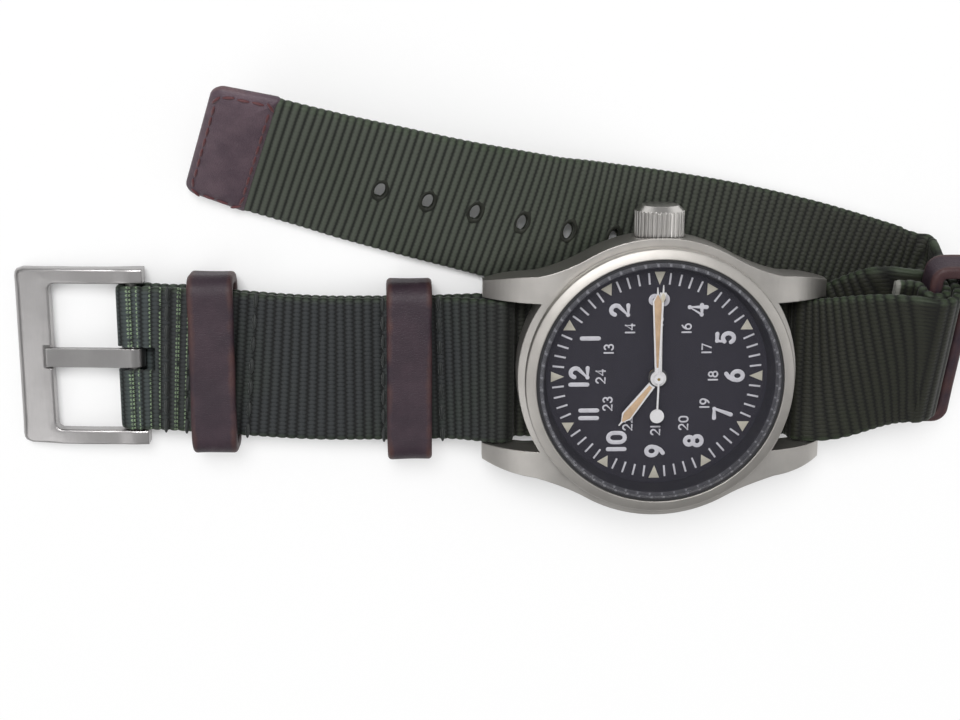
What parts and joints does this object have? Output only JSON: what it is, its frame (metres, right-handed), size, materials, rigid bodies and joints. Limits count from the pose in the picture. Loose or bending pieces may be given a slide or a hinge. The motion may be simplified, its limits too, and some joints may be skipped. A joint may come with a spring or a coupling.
{
  "type": "field watch",
  "caption": "Hand-wound field watch, steel case and crown, numbered dial, ribbed pull-through webbing strap with leather keepers and a tongue buckle, laid open on a table.",
  "frame": {"origin": "on the table, under the centre of the watch head", "axes": "+X towards 6 o'clock along the strap, +Y towards the crown, +Z out of the dial"},
  "size_m": [0.1279, 0.0588, 0.0148],
  "materials": {
    "blasted_steel": "matt bead-blasted stainless steel",
    "satin_steel": "satin stainless steel, softly brushed",
    "nickel_plate": "nickel plated brass, fine grained",
    "movement_steel": "polished steel",
    "movement_brass": "gilt brass wheel",
    "dial_black": "matt black paint with white print",
    "crystal_glass": "clear mineral crystal",
    "gasket_rubber": "black rubber gasket",
    "brown_leather": "smooth dark brown leather, burnished edges",
    "green_webbing": "ribbed nylon webbing, dark green",
    "ruby": "synthetic ruby",
    "hand_white": "white paint with cream luminous fill"
  },
  "bodies": {
    "root": {"case_middle": "blasted_steel", "bezel": "blasted_steel", "crystal": "crystal_glass", "crystal_gasket": "gasket_rubber", "inner_ring": "dial_black", "case_back": "blasted_steel", "case_back_gasket": "gasket_rubber", "dial": "dial_black", "case_tube": "blasted_steel", "spring_bar_12": "satin_steel", "spring_bar_6": "satin_steel", "main_plate": "nickel_plate", "movement_ring": "nickel_plate", "barrel_bridge": "nickel_plate", "train_bridge": "nickel_plate", "balance_cock": "nickel_plate", "jewels": "ruby", "movement_screws": "movement_steel", "hairspring": "movement_steel", "long_strap": "green_webbing", "short_strap": "green_webbing", "strap_tip": "brown_leather", "keeper_1": "brown_leather", "keeper_2": "brown_leather", "keeper_end": "brown_leather"},
    "winding": {"winding_pinion": "movement_steel"},
    "crown": {"crown": "blasted_steel", "winding_stem": "satin_steel", "crown_gasket": "gasket_rubber"},
    "crown_wheel": {"crown_wheel": "movement_steel"},
    "ratchet": {"ratchet_wheel": "movement_steel", "barrel_arbor": "movement_steel"},
    "click": {"click": "movement_steel"},
    "minute": {"cannon_pinion": "movement_steel", "minute_hand": "hand_white"},
    "minute_wheel": {"minute_wheel": "movement_brass"},
    "hour": {"hour_wheel": "movement_brass", "hour_hand": "hand_white"},
    "seconds": {"fourth_wheel": "movement_brass", "seconds_hand": "hand_white"},
    "third": {"third_wheel": "movement_brass"},
    "centre": {"centre_wheel": "movement_brass"},
    "barrel": {"mainspring_barrel": "movement_brass", "mainspring": "movement_steel"},
    "escape": {"escape_wheel": "movement_brass"},
    "fork": {"pallet_fork": "movement_steel"},
    "balance": {"balance_wheel": "movement_brass"},
    "buckle": {"buckle_frame": "satin_steel", "buckle_pin": "satin_steel"},
    "tongue": {"buckle_tongue": "satin_steel"}
  },
  "joints": [
    {"name": "crown_turn", "type": "hinge", "parent": "root", "child": "winding", "pos_m": [0, 0, 0.0078], "axis": [0, 1, 0], "continuous": true},
    {"name": "crown_pull", "type": "slide", "parent": "winding", "child": "crown", "axis": [0, 1, 0], "range_m": [0, 0.001]},
    {"name": "crown_wheel_turn", "type": "hinge", "parent": "root", "child": "crown_wheel", "pos_m": [-0.0004, 0.0046, 0.00445], "axis": [0, 0, 1], "continuous": true},
    {"name": "ratchet_turn", "type": "hinge", "parent": "root", "child": "ratchet", "pos_m": [-0.006, 0.0046, 0.00445], "axis": [0, 0, 1], "continuous": true},
    {"name": "click_lift", "type": "hinge", "parent": "root", "child": "click", "pos_m": [-0.00129, 0.00726, 0.00445], "axis": [0, 0, 1], "range_deg": [0, 10]},
    {"name": "minute_hand_turn", "type": "hinge", "parent": "root", "child": "minute", "pos_m": [0, 0, 0.00445], "axis": [0, 0, 1], "continuous": true},
    {"name": "minute_wheel_turn", "type": "hinge", "parent": "root", "child": "minute_wheel", "pos_m": [-0.0026, 0.0015, 0.00445], "axis": [0, 0, 1], "continuous": true},
    {"name": "hour_hand_turn", "type": "hinge", "parent": "root", "child": "hour", "pos_m": [0, 0, 0.00445], "axis": [0, 0, 1], "continuous": true},
    {"name": "seconds_hand_turn", "type": "hinge", "parent": "root", "child": "seconds", "pos_m": [0, 0, 0.00445], "axis": [0, 0, 1], "continuous": true},
    {"name": "third_wheel_turn", "type": "hinge", "parent": "root", "child": "third", "pos_m": [-0.00154, -0.00306, 0.00445], "axis": [0, 0, 1], "continuous": true},
    {"name": "centre_wheel_turn", "type": "hinge", "parent": "root", "child": "centre", "pos_m": [-0.00491, -0.00075, 0.00445], "axis": [0, 0, 1], "continuous": true},
    {"name": "barrel_turn", "type": "hinge", "parent": "root", "child": "barrel", "pos_m": [-0.006, 0.0046, 0.00445], "axis": [0, 0, 1], "continuous": true},
    {"name": "escape_wheel_turn", "type": "hinge", "parent": "root", "child": "escape", "pos_m": [0.00264, -0.00096, 0.00445], "axis": [0, 0, 1], "continuous": true},
    {"name": "fork_rock", "type": "hinge", "parent": "root", "child": "fork", "pos_m": [0.00422, -0.00274, 0.00445], "axis": [0, 0, 1], "range_deg": [-5, 5]},
    {"name": "balance_swing", "type": "hinge", "parent": "root", "child": "balance", "pos_m": [0.0064, -0.0052, 0.00445], "axis": [0, 0, 1], "range_deg": [-150, 150], "stiffness_Nm_per_rad": 0.0000002},
    {"name": "buckle_hinge", "type": "hinge", "parent": "root", "child": "buckle", "pos_m": [-0.0708, 0.0014, 0.0023], "axis": [0, 1, 0], "range_deg": [-40, 30]},
    {"name": "tongue_hinge", "type": "hinge", "parent": "buckle", "child": "tongue", "pos_m": [-0.0708, 0.0014, 0.0023], "axis": [0, 1, 0], "range_deg": [0, 95]}
  ],
  "couplings": [
    {"joint": "crown_wheel_turn", "follows": "crown_turn", "ratio": 0.5},
    {"joint": "ratchet_turn", "follows": "crown_turn", "ratio": -0.27778},
    {"joint": "minute_wheel_turn", "follows": "minute_hand_turn", "ratio": -0.33333},
    {"joint": "hour_hand_turn", "follows": "minute_hand_turn", "ratio": 0.083333},
    {"joint": "third_wheel_turn", "follows": "seconds_hand_turn", "ratio": -0.125},
    {"joint": "centre_wheel_turn", "follows": "seconds_hand_turn", "ratio": 0.016667},
    {"joint": "barrel_turn", "follows": "seconds_hand_turn", "ratio": -0.0027778},
    {"joint": "escape_wheel_turn", "follows": "seconds_hand_turn", "ratio": -10}
  ]
}
